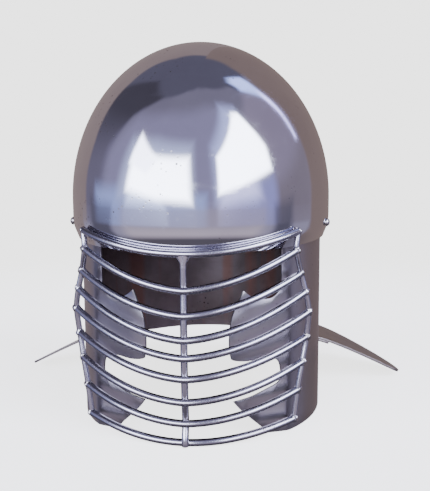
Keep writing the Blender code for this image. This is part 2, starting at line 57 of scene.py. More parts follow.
# %% Places and small formulas
MM = 0.001
RIVET_LEVEL = Vector((0.0, -44.15, 160.0))
BOWL = {"half_width": 108.2, "half_length": 121.5, "centre_y": 27.5, "foot": 19.0, "rise": 128.5}
BROW_RIM = -13.5
SHEET = 1.6
FLOOR = -160.0


def at(x, y, z):
    """A place in millimetres from the rivets, as metres in the CAD frame."""
    return (Vector((x, y, z)) + RIVET_LEVEL) * MM


def eased(value, low, high):
    """0 below low, 1 above high, an eased ramp between them."""
    share = min(1.0, max(0.0, (value - low) / (high - low)))
    return share * share * (3.0 - 2.0 * share)


def oval(angle, half_width, half_length):
    """Plan point of an oval round the bowl's centre."""
    turn = math.radians(angle)
    return half_width * math.sin(turn), BOWL["centre_y"] - half_length * math.cos(turn)


print("rivets are", RIVET_LEVEL.z, "mm above the table")

# %% [markdown]
# The bowl's wall is drawn in below the dome, first quickly at the brow, then slowly down the nape.
# A short table of heights and shares says how far. Straight lines between its rows would show as
# creases in polished steel, so a cubic curve runs through them.

# %% How far the wall is drawn in
WALL = ((-120.0, 0.885), (-80.0, 0.900), (-40.0, 0.920), (-18.0, 0.942), (-13.5, 0.956),
        (-10.0, 0.968), (-6.5, 0.981), (-3.0, 0.992), (1.0, 0.998), (6.0, 1.000), (19.0, 1.000))


def wall_share(height):
    """Share of the full oval at a height, on a smooth curve through the table."""
    height = min(max(height, WALL[0][0]), WALL[-1][0])
    index = max(i for i in range(len(WALL) - 1) if height >= WALL[i][0])
    slopes = [(b[1] - a[1]) / (b[0] - a[0]) for a, b in zip(WALL, WALL[1:])]
    ends = []
    for knot in (index, index + 1):
        before = slopes[max(knot - 1, 0)]
        after = slopes[min(knot, len(slopes) - 1)]
        ends.append(2.0 * before * after / (before + after) if before * after > 0.0 else 0.0)
    (low, first), (high, last) = WALL[index], WALL[index + 1]
    span = high - low
    t = (height - low) / span
    return (first * (1 + 2 * t) * (1 - t) ** 2 + last * t * t * (3 - 2 * t)
            + span * (ends[0] * t * (1 - t) ** 2 - ends[1] * t * t * (1 - t)))


print("share at the brow rim:", round(wall_share(BROW_RIM), 3))

# %% [markdown]
# Every finished bmesh goes through one door: doubles are merged, normals turned outwards, and the new
# object rides on the CAD's root and stands for its node. Bevel comes last and only breaks the sharp
# edges, because a sheet that has been filed and polished never keeps a knife edge.

# %% Helpers that finish a piece
def new_object(name, shape):
    """A mesh object from a bmesh, with doubles merged and faces turned outwards."""
    bmesh.ops.remove_doubles(shape, verts=shape.verts, dist=0.000002)
    bmesh.ops.recalc_face_normals(shape, faces=shape.faces)
    mesh = bpy.data.meshes.new(name)
    shape.to_mesh(mesh)
    shape.free()
    piece = bpy.data.objects.new(name, mesh)
    bpy.context.scene.collection.objects.link(piece)
    return piece


def thicken(piece, thickness, inwards_from):
    """Give an open sheet its thickness, growing towards a point inside it."""
    face = max(piece.data.polygons, key=lambda each: each.area)
    if face.normal.dot(face.center - inwards_from) < 0.0:
        piece.data.flip_normals()
    sheet = piece.modifiers.new("sheet", "SOLIDIFY")
    sheet.thickness = thickness * MM
    sheet.offset = -1.0
    sheet.use_even_offset = True


def break_edges(piece, width, angle=40.0, segments=2):
    """Round the sharp edges a little."""
    edge = piece.modifiers.new("edge", "BEVEL")
    edge.width = width * MM
    edge.segments = segments
    edge.limit_method = "ANGLE"
    edge.angle_limit = math.radians(angle)
    edge.use_clamp_overlap = True


def bake(piece):
    """Apply all modifiers."""
    depsgraph = bpy.context.evaluated_depsgraph_get()
    depsgraph.update()
    mesh = bpy.data.meshes.new_from_object(piece.evaluated_get(depsgraph))
    piece.modifiers.clear()
    piece.data = mesh
    mesh.name = piece.name


def stands_for(piece, node, crease=35.0):
    """Smooth shading with creases, and the piece takes its CAD node's place."""
    piece.data.shade_smooth()
    piece.data.set_sharp_from_angle(angle=math.radians(crease))
    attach(piece, "root")
    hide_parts(node)
    print(piece.name, "stands for", node, "with", len(piece.data.vertices), "vertices")
    return piece


# %% [markdown]
# ## Camera
#
# The photograph was taken from slightly above the brow and a little to the wearer's left, with a
# lens about 59 mm long on a full-frame camera. The camera's place was fitted to pairs of points on the
# left and right, so the render and the photograph can be laid over each other.

# %% Camera
CAMERA = {"azimuth": 5.7, "elevation": 8.0, "roll": 0.3, "distance": 663.0,
          "right": 14.0, "up": -20.0, "lens": 58.66}


def add_camera(values):
    """A camera from its angles and its distance to the point between the rivets."""
    turn, lift, roll = (math.radians(values[key]) for key in ("azimuth", "elevation", "roll"))
    back = Vector((math.sin(turn) * math.cos(lift), -math.cos(turn) * math.cos(lift), math.sin(lift)))
    level = Vector((math.cos(turn), math.sin(turn), 0.0))
    above = back.cross(level)
    right = level * math.cos(roll) - above * math.sin(roll)
    up = level * math.sin(roll) + above * math.cos(roll)
    place = back * values["distance"] + right * values["right"] + up * values["up"]
    data = bpy.data.cameras.new("camera")
    data.lens = values["lens"]
    data.sensor_width = 36.0
    data.clip_start = 0.01
    camera = bpy.data.objects.new("camera", data)
    bpy.context.scene.collection.objects.link(camera)
    turn_matrix = Matrix((right, up, back)).transposed().to_4x4()
    camera.matrix_world = Matrix.Translation(at(*place)) @ turn_matrix
    bpy.context.scene.camera = camera
    return camera


camera = add_camera(CAMERA)
print("camera is", round(camera.location.z, 3), "m above the table")

# %% [markdown]
# ## Table and surround
#
# Polished steel has hardly a colour of its own: it shows the room. The studio is therefore part of
# the finish. A pale round table fades out into a pale surround, which only the camera sees.

# %% Pale table that fades into the surround
def node_tree(owner):
    """The empty node tree of a material or world."""
    owner.use_nodes = True
    owner.node_tree.nodes.clear()
    return owner.node_tree


def ramp(tree, stops, source):
    """A colour ramp with (position, grey or colour) stops."""
    node = tree.nodes.new("ShaderNodeValToRGB")
    node.color_ramp.interpolation = "EASE"
    while len(node.color_ramp.elements) < len(stops):
        node.color_ramp.elements.new(0.5)
    for element, (position, colour) in zip(node.color_ramp.elements, stops):
        element.position = position
        colour = colour if isinstance(colour, tuple) else (colour, colour, colour)
        element.color = (*colour, 1.0)
    tree.links.new(source, node.inputs["Fac"])
    return node.outputs["Color"]


def calculate(tree, operation, *values):
    """A Math node; each value is a number or a socket."""
    node = tree.nodes.new("ShaderNodeMath")
    node.operation = operation
    for socket, value in zip(node.inputs, values):
        if isinstance(value, bpy.types.NodeSocket):
            tree.links.new(value, socket)
        else:
            socket.default_value = value
    return node.outputs[0]


PALE = 3.0
TABLE = {"radius": 1.6, "sides": 96, "colour": (0.80, 0.79, 0.81, 1.0), "glow": 0.80}


def add_table():
    """A round table top whose rim dissolves; the steel mirrors the studio's low panels instead."""
    shape = bmesh.new()
    bmesh.ops.create_circle(shape, cap_ends=True, segments=TABLE["sides"], radius=TABLE["radius"])
    mesh = bpy.data.meshes.new("table")
    shape.to_mesh(mesh)
    shape.free()
    table = bpy.data.objects.new("table", mesh)
    bpy.context.scene.collection.objects.link(table)
    material = bpy.data.materials.new("pale_table")
    tree = node_tree(material)
    place = tree.nodes.new("ShaderNodeTexCoord")
    reach = tree.nodes.new("ShaderNodeVectorMath")
    reach.operation = "LENGTH"
    tree.links.new(place.outputs["Object"], reach.inputs[0])
    share = calculate(tree, "DIVIDE", reach.outputs["Value"], TABLE["radius"])
    seen = tree.nodes.new("ShaderNodeBsdfPrincipled")
    seen.inputs["Base Color"].default_value = TABLE["colour"]
    seen.inputs["Roughness"].default_value = 0.9
    seen.inputs["Specular IOR Level"].default_value = 0.0
    seen.inputs["Emission Color"].default_value = (1.0, 1.0, 1.0, 1.0)
    seen.inputs["Emission Strength"].default_value = PALE * TABLE["glow"]
    tree.links.new(ramp(tree, ((0.0, 1.0), (0.16, 1.0), (0.60, 0.0)), share), seen.inputs["Alpha"])
    unseen = tree.nodes.new("ShaderNodeBsdfTransparent")
    path = tree.nodes.new("ShaderNodeLightPath")
    choose = tree.nodes.new("ShaderNodeMixShader")
    tree.links.new(path.outputs["Is Camera Ray"], choose.inputs["Fac"])
    tree.links.new(unseen.outputs[0], choose.inputs[1])
    tree.links.new(seen.outputs[0], choose.inputs[2])
    output = tree.nodes.new("ShaderNodeOutputMaterial")
    tree.links.new(choose.outputs[0], output.inputs["Surface"])
    mesh.materials.append(material)
    return table


table = add_table()
print("table reaches", round(max(vertex.co.x for vertex in table.data.vertices), 2), "m")

# %% [markdown]
# The studio hangs round the helmet as panels: a lavender wall in front, a dusky ceiling, warm walls
# behind, two big soft boxes with a glow round them, and a narrow strip far round on the right. Each
# panel is given by its corners as the bowl sees them, in degrees round from the face (the wearer's left
# is positive) and degrees up. A panel's edge is as soft as its last number, also in degrees.

# %% Where a ray goes, in degrees
def ray_angles(tree):
    """(degrees round from the face, degrees up, 1) for the direction of a ray."""
    place = tree.nodes.new("ShaderNodeTexCoord")
    split = tree.nodes.new("ShaderNodeSeparateXYZ")
    tree.links.new(place.outputs["Generated"], split.inputs[0])
    forwards = calculate(tree, "MULTIPLY", split.outputs["Y"], -1.0)
    turn = calculate(tree, "ARCTAN2", split.outputs["X"], forwards)
    lift = calculate(tree, "ARCSINE", split.outputs["Z"])
    both = tree.nodes.new("ShaderNodeCombineXYZ")
    for socket, angle in zip(both.inputs, (turn, lift)):
        tree.links.new(calculate(tree, "MULTIPLY", angle, 180.0 / math.pi), socket)
    both.inputs["Z"].default_value = 1.0
    return both.outputs[0]


def panel_mask(tree, ray, corners, soft):
    """1 inside a convex panel whose corners run clockwise, 0 outside, soft at its edges."""
    nearest = None
    for (turn_a, lift_a), (turn_b, lift_b) in zip(corners, corners[1:] + corners[:1]):
        length = math.hypot(turn_b - turn_a, lift_b - lift_a)
        along = ((turn_b - turn_a) / length, (lift_b - lift_a) / length)
        inwards = tree.nodes.new("ShaderNodeVectorMath")
        inwards.operation = "DOT_PRODUCT"
        inwards.inputs[1].default_value = (along[1], -along[0], lift_a * along[0] - turn_a * along[1])
        tree.links.new(ray, inwards.inputs[0])
        edge = inwards.outputs["Value"]
        nearest = edge if nearest is None else calculate(tree, "MINIMUM", nearest, edge)
    fade = tree.nodes.new("ShaderNodeMapRange")
    fade.interpolation_type = "SMOOTHSTEP"
    fade.inputs["From Min"].default_value = -soft
    fade.inputs["From Max"].default_value = soft
    tree.links.new(nearest, fade.inputs["Value"])
    return fade.outputs["Result"]


print("ray helpers ready")

# %% The panels of the studio
CEILING = (0.135, 0.13, 0.19)
PANELS = (
    ("dark_corner", ((-134, -40), (-134, 30), (-112, 62), (-70, 64), (-70, -40)), 3.0, (0.082, 0.076, 0.105)),
    ("corner_foot", ((-134, -40), (-134, 12), (-88, 30), (-70, -40)), 16.0, (0.205, 0.19, 0.28)),
    ("front_wall", ((-92, -40), (-92, 14), (-86, 42), (-68, 64), (-35, 79), (0, 84), (50, 82), (100, 70),
                    (112, -40)), 3.0, (0.25, 0.235, 0.335)),
    ("front_glow", ((-92, -40), (-92, 20), (-78, 46), (-40, 58), (20, 66), (60, 62), (78, 40),
                    (96, -40)), 8.0, (0.36, 0.34, 0.55)),
    ("right_wall", ((76, -40), (72, 52), (98, 60), (127, 60), (127, -40)), 4.0, (0.37, 0.325, 0.47)),
    ("right_foot", ((78, -40), (80, 6), (127, 22), (127, -40)), 8.0, (0.28, 0.245, 0.31)),
    ("rear_wall_right", ((124, -60), (124, 54), (150, 60), (190, 60), (190, -60)), 2.5, (0.28, 0.215, 0.205)),
    ("rear_wall_left", ((-190, -60), (-190, 57), (-155, 53), (-132, 38), (-118, 16), (-112, -60)), 2.0,
     (0.35, 0.28, 0.28)),
    ("low_left", ((-106, -40), (-100, 2), (-64, 6), (14, 4), (14, -40)), 5.0, (0.50, 0.62, 1.20)),
    ("low_right", ((28, -40), (28, 4), (80, 14), (86, -40)), 5.0, (0.42, 0.43, 0.92)),
    ("glow_left", ((-72, 1), (-68, 32), (-40, 38), (0, 38), (2, -4)), 7.0, (0.80, 0.90, 1.45)),
    ("glow_right", ((24, 0), (22, 36), (46, 64), (66, 58), (66, 30), (60, 0)), 7.0, (0.80, 0.90, 1.65)),
    ("spill_left", ((-62, -2), (-60, 14), (-34, 12), (-26, -4)), 6.0, (2.2, 2.6, 3.8)),
    ("spill_right", ((28, -4), (28, 12), (58, 22), (64, 2)), 7.0, (1.5, 1.5, 2.5)),
    ("box_left", ((-63, 5), (-61, 26), (-3, 29), (0, -1), (-34, 1)), 4.0, (9.0, 9.6, 11.0)),
    ("box_left_peak", ((-64, 20), (-61, 38), (-58, 37), (-34, 26), (-44, 16)), 2.5, (7.0, 7.4, 9.0)),
    ("box_right", ((26, 4), (26, 29), (58, 56), (66, 54), (79, 28), (79, 15)), 2.5, (9.0, 9.6, 11.0)),
    ("strip", ((118, 21), (116, 60), (121.5, 60), (119.5, 21)), 2.0, (3.4, 3.3, 6.4)),
    ("strip_head", ((104, 61), (112, 69), (126, 69), (131, 60), (118, 46)), 3.5, (1.2, 1.5, 3.0)),
    ("far_floor", ((-122, -95), (-122, -7), (122, -7), (122, -95)), 3.0, (0.40, 0.38, 0.53)),
    ("brow_floor", ((-66, -60), (-66, -8), (66, -8), (66, -60)), 9.0, (0.68, 0.60, 0.72)),
    ("low_dark_left", ((-112, -40), (-108, -3), (-82, -5), (-76, -40)), 5.0, (0.13, 0.125, 0.18)),
    ("low_dark_right", ((74, -40), (80, -5), (98, -3), (100, -40)), 5.0, (0.13, 0.125, 0.18)),
    ("near_floor", ((-200, -95), (-200, -30), (200, -30), (200, -95)), 12.0, (0.13, 0.12, 0.15)))


def add_room():
    """The panels as the steel sees them, and a pale surround for the camera itself."""
    world = bpy.data.worlds.new("room")
    bpy.context.scene.world = world
    tree = node_tree(world)
    ray = ray_angles(tree)
    colour = None
    for name, corners, soft, light in PANELS:
        layer = tree.nodes.new("ShaderNodeMix")
        layer.name = layer.label = name
        layer.data_type = "RGBA"
        tree.links.new(panel_mask(tree, ray, corners, soft), layer.inputs["Factor"])
        layer.inputs["B"].default_value = (*light, 1.0)
        if colour is None:
            layer.inputs["A"].default_value = (*CEILING, 1.0)
        else:
            tree.links.new(colour, layer.inputs["A"])
        colour = layer.outputs["Result"]
    room = tree.nodes.new("ShaderNodeBackground")
    tree.links.new(colour, room.inputs["Color"])
    surround = tree.nodes.new("ShaderNodeBackground")
    surround.inputs["Color"].default_value = (1.0, 1.0, 1.0, 1.0)
    surround.inputs["Strength"].default_value = PALE
    path = tree.nodes.new("ShaderNodeLightPath")
    choose = tree.nodes.new("ShaderNodeMixShader")
    tree.links.new(path.outputs["Is Camera Ray"], choose.inputs["Fac"])
    tree.links.new(room.outputs[0], choose.inputs[1])
    tree.links.new(surround.outputs[0], choose.inputs[2])
    output = tree.nodes.new("ShaderNodeOutputWorld")
    tree.links.new(choose.outputs[0], output.inputs["Surface"])


add_room()
print("panels:", ", ".join(panel[0] for panel in PANELS))

# %% [markdown]
# ## The bowl
#
# A real bowl is raised or pressed from one disc of steel. Here a UV sphere is cut at its equator and
# stretched to the oval, its open edge is extruded down as the wall, and each new ring is drawn in
# a little. The rim is then sawn out: low over the nape, high over the brow, with a step behind the
# ear. Sawing keeps every face on the smooth surface, which a mirror finish needs.

# %% Raise the dome and draw the wall down
def raise_bowl():
    """Dome and wall as an open sheet."""
    shape = bmesh.new()
    bmesh.ops.create_uvsphere(shape, u_segments=144, v_segments=72, radius=1.0)
    everything = shape.verts[:] + shape.edges[:] + shape.faces[:]
    bmesh.ops.bisect_plane(shape, geom=everything, dist=0.0001, plane_co=(0, 0, 0), plane_no=(0, 0, -1),
                           clear_outer=True)
    size = Vector((BOWL["half_width"], BOWL["half_length"], BOWL["rise"])) * MM
    bmesh.ops.scale(shape, vec=size, verts=shape.verts)
    bmesh.ops.translate(shape, vec=at(0.0, BOWL["centre_y"], BOWL["foot"]), verts=shape.verts)
    height, share = BOWL["foot"], 1.0
    centre = at(0.0, BOWL["centre_y"], 0.0)
    levels = [19.0 - 1.5 * step for step in range(1, 23)] + [-16.0 - 4.0 * step for step in range(1, 28)]
    for level in levels:
        rim = [edge for edge in shape.edges if edge.is_boundary]
        wall = bmesh.ops.extrude_edge_only(shape, edges=rim)["geom"]
        ring = [item for item in wall if isinstance(item, bmesh.types.BMVert)]
        draw = wall_share(level) / share
        bmesh.ops.translate(shape, vec=(0, 0, (level - height) * MM), verts=ring)
        bmesh.ops.scale(shape, vec=(draw, draw, 1.0), verts=ring, space=Matrix.Translation(-centre))
        height, share = level, share * draw
    return new_object("skull_bowl_polished", shape)


bowl = raise_bowl()
print("bowl sheet has", len(bowl.data.polygons), "faces")


# %% Saw the rim
def rim_side_view():
    """Side view of what is sawn away below the brow and in front of the ear, (y, z)."""
    edge = [(-140.0, BROW_RIM), (-62.0, BROW_RIM), (-12.0, -12.5)]
    for first, last, top, low in ((101.5, 104.0, -12.5, -104.0), (104.0, 142.0, -104.0, -120.0)):
        for step in range(25):
            z = top + (low - top) * eased(step / 24.0, 0.0, 1.0)
            back = math.cos(math.radians(first + (last - first) * step / 24.0))
            edge.append((BOWL["centre_y"] - BOWL["half_length"] * wall_share(z) * back, z))
    edge.pop(27)
    return edge + [(170.0, -120.0), (170.0, -150.0), (-140.0, -150.0)]


def saw(piece, outline):
    """Cut a side-view outline through the whole piece."""
    shape = bmesh.new()
    corners = [shape.verts.new(at(-150.0, y, z)) for y, z in outline]
    face = shape.faces.new(corners)
    block = bmesh.ops.extrude_face_region(shape, geom=[face])["geom"]
    moved = [item for item in block if isinstance(item, bmesh.types.BMVert)]
    bmesh.ops.translate(shape, vec=(0.3, 0, 0), verts=moved)
    blade = new_object("saw_blade", shape)
    cut = piece.modifiers.new("saw", "BOOLEAN")
    cut.operation = "DIFFERENCE"
    cut.solver = "EXACT"
    cut.object = blade
    bake(piece)
    bpy.data.objects.remove(blade, do_unlink=True)


thicken(bowl, SHEET, at(0.0, BOWL["centre_y"], 0.0))
saw(bowl, rim_side_view())
break_edges(bowl, 0.35, angle=50.0)
stands_for(bowl, "skull_bowl")

# %% [markdown]
# ## Cheek plates
#
# A cheek plate is cut from flat sheet and bent over a former, so it is made in that order. The flat
# pattern is one face with the scalloped front edge: eye notch, cheek point, mouth notch and chin lobe.
# Straight cuts divide it into strips, and then every point is bent: flat in front, a soft corner, and
# round the head at the side. In the pattern, distances behind the corner run along the sheet.

# %% The flat pattern
PLATE = {"top": 9.0, "corner_x": 76.0, "front_x": 26.0, "front_turn": 31.0, "rear_u": 174.6,
         "round": 14.0, "per_degree": 1.87, "soften": 3.5, "tuck": 10.0, "tuck_from": -95.0,
         "tuck_over": 65.0, "tuck_blend": 0.004}
PLATE_INSET = 2.2
FRONT_EDGE = (
    ((70.0, 9.0), (70.0, -14.0), (70.0, -40.0), (68.6, -47.0), (63.0, -52.0), (55.0, -52.2), (48.0, -49.6),
     (42.0, -44.6)),
    ((42.0, -44.6), (38.6, -53.0), (34.6, -62.0), (32.6, -71.0), (31.9, -85.0), (33.0, -94.5), (35.2, -97.6),
     (45.0, -99.4), (58.0, -98.6), (64.0, -99.6), (68.0, -102.6), (69.6, -108.0), (69.8, -114.5),
     (68.0, -119.6), (60.0, -123.6), (47.0, -128.9), (34.4, -131.2)),
    ((34.4, -131.2), (39.6, -138.4), (47.6, -146.8), (55.0, -154.2), (59.6, -160.0)))


def through(points, steps=4):
    """A smooth line through points, which ends at the first and last of them."""
    line = []
    for index in range(len(points) - 1):
        a, b, c, d = (Vector(points[min(max(index + k, 0), len(points) - 1)]) for k in (-1, 0, 1, 2))
        for step in range(steps):
            t = step / steps
            line.append(0.5 * (2 * b + (c - a) * t + (2 * a - 5 * b + 4 * c - d) * t * t
                               + (3 * b - a - 3 * c + d) * t ** 3))
    return line + [Vector(points[-1])]


def corner(u, z, radius, start):
    """A quarter turn of the pattern's outline, anticlockwise from start degrees."""
    turns = [math.radians(start + 15.0 * step) for step in range(7)]
    return [Vector((u + radius * math.cos(turn), z + radius * math.sin(turn))) for turn in turns]


def plate_pattern():
    """Outline of the flat plate, (along the sheet, up)."""
    outline = []
    for run in FRONT_EDGE:
        outline += through(run)[:-1]
    outline.append(Vector(FRONT_EDGE[-1][-1]))
    inner = PLATE["rear_u"] - PLATE["round"]
    outline += corner(inner, FLOOR + PLATE["round"], PLATE["round"], -90.0)
    outline += corner(inner, PLATE["top"] - PLATE["round"], PLATE["round"], 0.0)
    return outline


print("pattern has", len(plate_pattern()), "points")


# %% Bend the pattern
def plate_line(u, z):
    """Plan point of the plate's outer face, with a sharp corner."""
    share = wall_share(max(z, BROW_RIM))
    half_width = BOWL["half_width"] * share - PLATE_INSET
    half_length = BOWL["half_length"] * share - PLATE_INSET
    brow_half_width = BOWL["half_width"] * wall_share(BROW_RIM) - PLATE_INSET
    first = math.degrees(math.asin(PLATE["corner_x"] / brow_half_width))
    if u > PLATE["corner_x"]:
        return Vector(oval(first + (u - PLATE["corner_x"]) / PLATE["per_degree"], half_width, half_length))
    bend = Vector(oval(first, half_width, half_length))
    back = PLATE["corner_x"] - u
    return Vector((bend.x - back, bend.y - back * math.tan(math.radians(PLATE["front_turn"]))))


def bend_plate(u, z):
    """Place on the bent plate, with a soft corner and the chin drawn back."""
    near, far = plate_line(u - PLATE["soften"], z), plate_line(u + PLATE["soften"], z)
    spot = near * 0.25 + plate_line(u, z) * 0.5 + far * 0.25
    front = max(0.0, (PLATE["corner_x"] - u) / (PLATE["corner_x"] - PLATE["front_x"]))
    drop = (PLATE["tuck_from"] - z) / PLATE["tuck_over"]
    drop = (drop + math.sqrt(drop * drop + PLATE["tuck_blend"])) / 2.0
    return at(spot.x, spot.y + PLATE["tuck"] * front * drop, z)


def cut_strips(shape, axis, places):
    """Divide the flat pattern by straight cuts."""
    for place in places:
        everything = shape.verts[:] + shape.edges[:] + shape.faces[:]
        co = [0.0, 0.0, 0.0]
        no = [0.0, 0.0, 0.0]
        co[axis], no[axis] = place, 1.0
        bmesh.ops.bisect_plane(shape, geom=everything, dist=0.001, plane_co=co, plane_no=no)


def make_plate():
    """The wearer's left cheek plate as an open sheet."""
    shape = bmesh.new()
    shape.faces.new([shape.verts.new((u, 0.0, z)) for u, z in plate_pattern()])
    cut_strips(shape, 0, [38.0, 46.0, 54.0, 62.0, 68.0, 71.0, 73.0, 75.0, 77.0, 79.0, 82.0]
               + [86.0 + 4.0 * step for step in range(22)])
    cut_strips(shape, 2, [-150.0 + 10.0 * step for step in range(14)] + [-13.0, -9.0, -6.0, -3.0, 1.0, 5.0])
    for vertex in shape.verts:
        vertex.co = bend_plate(vertex.co.x, vertex.co.z)
    return new_object("cheek_plate_left_bent", shape)


def mirror_copy(piece, name):
    """The same piece on the other side of the helmet."""
    shape = bmesh.new()
    shape.from_mesh(piece.data)
    bmesh.ops.scale(shape, vec=(-1.0, 1.0, 1.0), verts=shape.verts)
    return new_object(name, shape)


left_plate = make_plate()
thicken(left_plate, SHEET, at(0.0, BOWL["centre_y"], -60.0))
break_edges(left_plate, 0.35)
bake(left_plate)
right_plate = mirror_copy(left_plate, "cheek_plate_right_bent")
stands_for(left_plate, "cheek_plate_left")
stands_for(right_plate, "cheek_plate_right")

# %% [markdown]
# ## Neck guard
#
# The guard is a crescent of thicker sheet that slopes back and droops to both sides, and a second
# strip is folded under its root. It is made as the plates are: a flat crescent, straight cuts, and
# then each point is lifted to the height that the guard has there. It slopes a little less than the
# CAD node that it stands for, because the photograph shows its upper face.

# %% The crescent and its height
GUARD = {"half_span": 181.0, "rear": 187.0, "tip": 110.0, "root": 66.0, "lift": 5.0, "slope": 0.12,
         "droop": 0.522, "droop_from": 100.0, "blend": 25.0, "round": 12.0, "tip_turn": -65.0,
         "fullness": 0.92, "flange": 24.0, "sheet": 2.0}


def guard_height(x, y):
    """Upper face of the neck guard."""
    past = abs(x) - GUARD["droop_from"]
    droop = GUARD["droop"] * (past + math.sqrt(past * past + GUARD["blend"] ** 2)) / 2.0
    nape = BOWL["centre_y"] + BOWL["half_length"] * WALL[0][1]
    return WALL[0][0] + GUARD["lift"] - GUARD["slope"] * (y - nape) - droop


def guard_root(offset):
    """Plan line round the nape, from the left root to the right root."""
    low = WALL[0][1]
    first = 90.0 + math.degrees(math.asin((GUARD["root"] - BOWL["centre_y"]) / (BOWL["half_length"] * low)))
    line = []
    for step in range(65):
        angle = first + (360.0 - 2.0 * first) * step / 64
        x, y = oval(angle, BOWL["half_width"] * low, BOWL["half_length"] * low)
        share = wall_share(guard_height(x, y))
        line.append(oval(angle, BOWL["half_width"] * share + offset, BOWL["half_length"] * share + offset))
    return line


def guard_rim():
    """Plan line of the outer edge from the right tip round the back to the left tip."""
    half = []
    for step in range(37):
        turn = math.radians(90.0 * step / 36)
        x = (GUARD["half_span"] - GUARD["round"]) * math.sin(turn) ** GUARD["fullness"]
        depth = GUARD["rear"] - GUARD["round"] - GUARD["tip"]
        y = GUARD["tip"] + depth * math.cos(turn) ** GUARD["fullness"]
        half.append((x + GUARD["round"] * math.sin(turn), y + GUARD["round"] * math.cos(turn)))
    for step in range(1, 8):
        turn = math.radians(GUARD["tip_turn"] * step / 7)
        half.append((GUARD["half_span"] + GUARD["round"] * (math.cos(turn) - 1.0),
                     GUARD["tip"] + GUARD["round"] * math.sin(turn)))
    return [(-x, y) for x, y in reversed(half)] + half[1:]


def crescent(name, outline, drop):
    """A flat outline, cut into strips and lifted to the guard's height."""
    shape = bmesh.new()
    shape.faces.new([shape.verts.new((x, y, 0.0)) for x, y in outline])
    cut_strips(shape, 0, [-174.0 + 6.0 * step for step in range(59)])
    cut_strips(shape, 1, [72.0 + 12.0 * step for step in range(10)])
    for vertex in shape.verts:
        x, y = vertex.co.x, vertex.co.y
        vertex.co = at(x, y, guard_height(x, y) - drop)
    sheet = new_object(name, shape)
    thicken(sheet, GUARD["sheet"], at(0.0, 100.0, -900.0))
    return sheet


guard = crescent("neck_guard_sheet", guard_rim() + guard_root(0.6), 0.0)
break_edges(guard, 0.5)
stands_for(guard, "neck_guard")
flange = crescent("neck_guard_doubling", list(reversed(guard_root(GUARD["flange"]))) + guard_root(1.3), 1.9)
break_edges(flange, 0.4)
stands_for(flange, "neck_guard")

# %% [markdown]
# ## Face grill
#
# Nine round bars are bent over the face and welded to a side rod at each end and to a post in the
# middle. A bar is a circle carried along its centre line: the ring is extruded, turned with the line
# and moved on, so the section stays round in every bend. The brow bar follows the bowl itself.

# %% Centre lines of the bars
BAR = {"radius": 2.8, "post": 2.7, "side": 2.3, "set_back": 3.4, "gap": 0.3}
# One row for each cross bar: end across, end forward, end up, middle forward, middle up, vee share
BAR_ROWS = (
    (82.4, None, -1.0, None, BROW_RIM, 0.00),
    (81.4, -57.6, -15.1, -95.0, -40.0, 0.30),
    (85.0, -53.0, -33.0, -96.0, -58.5, 0.30),
    (88.5, -52.0, -47.5, -96.0, -76.5, 0.30),
    (91.0, -50.0, -63.5, -95.5, -90.0, 0.30),
    (89.5, -48.0, -83.5, -94.5, -106.0, 0.30),
    (86.5, -50.0, -103.0, -93.0, -124.0, 0.25),
    (83.0, -51.5, -125.0, -90.5, -141.0, 0.20),
    (80.5, -52.0, -148.0, -87.0, -157.0, 0.00))


def brow_line(x, z):
    """How far back the brow bar lies when it rests on the bowl."""
    share = wall_share(z + 0.5 * BAR["radius"])
    offset = BAR["radius"] + BAR["gap"]
    half_width = BOWL["half_width"] * share + offset
    half_length = BOWL["half_length"] * share + offset
    return BOWL["centre_y"] - half_length * math.sqrt(1.0 - (x / half_width) ** 2)


def bar_line(row, steps=56):
    """Centre line of one cross bar."""
    end_x, end_y, end_z, mid_y, mid_z, vee = row
    line = []
    for step in range(steps + 1):
        share = 2.0 * step / steps - 1.0
        reach = abs(share)
        soft = math.sqrt(reach * reach + 0.0012) - 0.0346 * (1.0 - reach)
        z = mid_z + (end_z - mid_z) * (vee * soft + (1.0 - vee) * reach ** 2.1)
        y = brow_line(end_x * share, z) if end_y is None else mid_y + (end_y - mid_y) * reach ** 1.9
        line.append(Vector((end_x * share, y, z)))
    return line


BAR_LINES = [bar_line(row) for row in BAR_ROWS]
print("bars:", len(BAR_LINES), "of", 2 * BAR["radius"], "mm")


# %% Carry a ring along a line
def add_rod(shape, line, radius, segments=24):
    """A round rod with closed ends along a line in millimetres."""
    line = [at(*point) for point in line]
    heading = (line[1] - line[0]).normalized()
    start = Matrix.Translation(line[0]) @ heading.to_track_quat("Z", "Y").to_matrix().to_4x4()
    ring = bmesh.ops.create_circle(shape, segments=segments, radius=radius * MM, matrix=start)["verts"]
    edges = list({edge for vertex in ring for edge in vertex.link_edges})
    open_ends = list(edges)
    for index in range(1, len(line)):
        after = line[min(index + 1, len(line) - 1)]
        onward = (after - line[index - 1]).normalized()
        wall = bmesh.ops.extrude_edge_only(shape, edges=edges)["geom"]
        ring = [item for item in wall if isinstance(item, bmesh.types.BMVert)]
        edges = [item for item in wall if isinstance(item, bmesh.types.BMEdge)
                 and item.is_boundary]
        bmesh.ops.translate(shape, vec=line[index] - line[index - 1], verts=ring)
        bmesh.ops.rotate(shape, cent=line[index], verts=ring,
                         matrix=heading.rotation_difference(onward).to_matrix())
        heading = onward
    bmesh.ops.holes_fill(shape, edges=open_ends + edges, sides=segments + 1)


def post_line():
    """Centre post: behind the cross bars, then in front of the last one."""
    middles = [line[len(line) // 2] for line in BAR_LINES]
    spots = [(0.0, middles[0].y, middles[0].z - 1.1)]
    spots += [(0.0, middle.y + BAR["set_back"], middle.z) for middle in middles[1:-1]]
    foot = middles[-1]
    spots.append((0.0, foot.y - BAR["set_back"], foot.z + 4.0))
    spots.append((0.0, foot.y - BAR["set_back"], foot.z - 1.4))
    return through(spots, 4)


